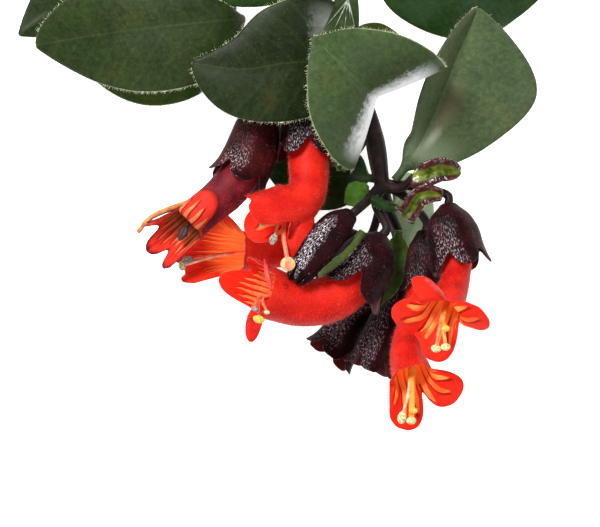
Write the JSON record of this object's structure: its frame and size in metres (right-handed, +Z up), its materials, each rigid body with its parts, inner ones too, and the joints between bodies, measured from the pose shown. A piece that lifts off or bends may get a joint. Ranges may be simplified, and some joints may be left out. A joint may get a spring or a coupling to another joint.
{
  "type": "lipstick plant shoot",
  "caption": "Cut flowering shoot with waxy folded leaves, dark velvety calyces and red two-lipped tubular flowers, lying on its back.",
  "frame": {"origin": "on the surface it lies on, under the middle of its box", "axes": "+X to the right and +Y towards the cut end as seen from above, +Z up from the surface"},
  "size_m": [0.1358, 0.1392, 0.05],
  "materials": {
    "leaf": "waxy dark green, paler underneath, fine hairs along the margin",
    "young_leaf": "soft yellow-green with dark shiny rims",
    "stem": "dark purple-brown, matte with short hairs",
    "calyx": "blackish maroon with silvery velvet hairs",
    "petal": "vivid red, finely downy, yellow-orange striped throat",
    "old_petal": "dark dull red tube with striped salmon lobes",
    "stamen": "pale cream filaments and anthers"
  },
  "bodies": {
    "root": {"stem": "stem", "leaf_front_left": "leaf", "leaf_front_folded": "leaf", "leaf_top_right": "leaf", "leaf_right": "leaf", "leaf_top_left": "leaf", "leaf_left": "leaf", "leaf_left_back": "leaf", "leaf_left_low": "leaf", "leaf_behind_cluster": "leaf", "leaf_behind_stem_low": "leaf", "leaf_behind_stem_high": "leaf", "leaf_under_cluster": "leaf", "leaf_small": "young_leaf", "bract_left": "young_leaf", "bract_long": "young_leaf", "bract_short": "young_leaf", "young_leaf_upper": "young_leaf", "young_leaf_lower": "young_leaf", "calyx_left": "calyx", "corolla_left": "old_petal", "stamens_left": "stamen", "calyx_low_left": "calyx", "corolla_low_left": "petal", "stamens_low_left": "stamen", "calyx_centre": "calyx", "corolla_centre": "petal", "stamens_centre": "stamen", "calyx_low_centre": "calyx", "corolla_low_centre": "petal", "stamens_low_centre": "stamen", "calyx_right": "calyx", "corolla_right": "petal", "stamens_right": "stamen", "calyx_low_right": "calyx", "corolla_low_right": "petal", "stamens_low_right": "stamen", "calyx_bud": "calyx", "calyx_open_left": "calyx", "calyx_open_right": "calyx"}
  },
  "joints": []
}
